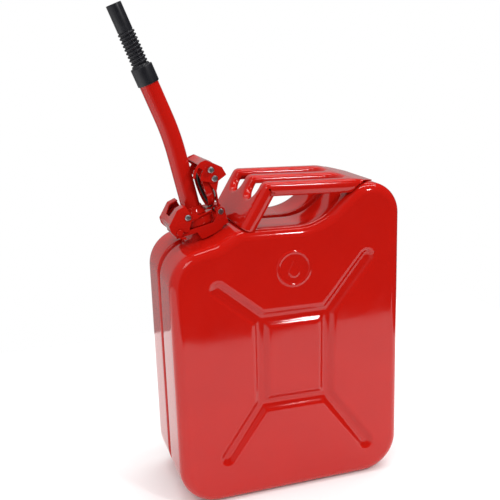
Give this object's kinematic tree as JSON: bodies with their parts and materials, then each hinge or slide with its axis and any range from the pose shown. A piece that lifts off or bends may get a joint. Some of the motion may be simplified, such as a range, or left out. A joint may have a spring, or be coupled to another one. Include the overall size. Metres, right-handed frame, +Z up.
{
  "type": "safety gas can",
  "caption": "Pressed steel fuel can with a slotted carry handle, cam-lever flip cap standing open and a clamped-on pouring spout with a flexible nozzle.",
  "frame": {"origin": "centre of the can body's base footprint, on the ground, midway between the front and rear walls on the seam plane", "axes": "+Z up the can; +X from the filler and spout end towards the raised rear hump; +Y from the near broad face to the far one"},
  "size_m": [0.3917, 0.1678, 0.7135],
  "materials": {
    "red_enamel": "gloss stoved enamel on steel",
    "zinc_steel": "bright zinc plate",
    "nitrile_rubber": "matte",
    "black_plastic": "satin flexible plastic"
  },
  "bodies": {
    "can": {"near_shell": "red_enamel", "far_shell": "red_enamel", "seam_weld": "red_enamel", "carry_handle": "red_enamel", "filler_neck": "red_enamel", "closure_bracket": "red_enamel", "breather_tube": "zinc_steel", "latch_bar": "red_enamel", "hinge_pin": "zinc_steel", "spout_cup": "red_enamel", "spout_gasket": "nitrile_rubber", "spout_clamp": "red_enamel", "spout_rivet_near": "zinc_steel", "spout_rivet_far": "zinc_steel", "spout_tube": "red_enamel", "nozzle_collar": "black_plastic", "nozzle_bellows": "black_plastic"},
    "cap": {"cap_cup": "red_enamel", "cap_gasket": "nitrile_rubber", "cap_carrier": "red_enamel", "cap_rivet_near": "zinc_steel", "cap_rivet_far": "zinc_steel"},
    "cap_lever": {"cap_lever": "red_enamel"},
    "locking_pin": {"locking_pin": "zinc_steel"},
    "spout_lever": {"spout_lever": "red_enamel"},
    "nozzle_tip": {"nozzle_tip": "black_plastic"}
  },
  "joints": [
    {"name": "cap_hinge", "type": "hinge", "parent": "can", "child": "cap", "pos_m": [-0.08411, 0, 0.42589], "axis": [0, 1, 0], "range_deg": [-3, 18]},
    {"name": "cap_lever_pivot", "type": "hinge", "parent": "cap", "child": "cap_lever", "pos_m": [-0.09157, 0, 0.47369], "axis": [0, 1, 0], "range_deg": [0, 75]},
    {"name": "locking_pin_pull", "type": "slide", "parent": "cap_lever", "child": "locking_pin", "axis": [0, -1, 0], "range_m": [-0.003, 0]},
    {"name": "spout_lever_pivot", "type": "hinge", "parent": "can", "child": "spout_lever", "pos_m": [-0.13231, 0, 0.42178], "axis": [0, 1, 0], "range_deg": [0, 75]},
    {"name": "nozzle_bend", "type": "hinge", "parent": "can", "child": "nozzle_tip", "pos_m": [-0.18807, 0, 0.65405], "axis": [0, 1, 0], "range_deg": [-35, 35], "deforming": ["nozzle_bellows"]}
  ]
}
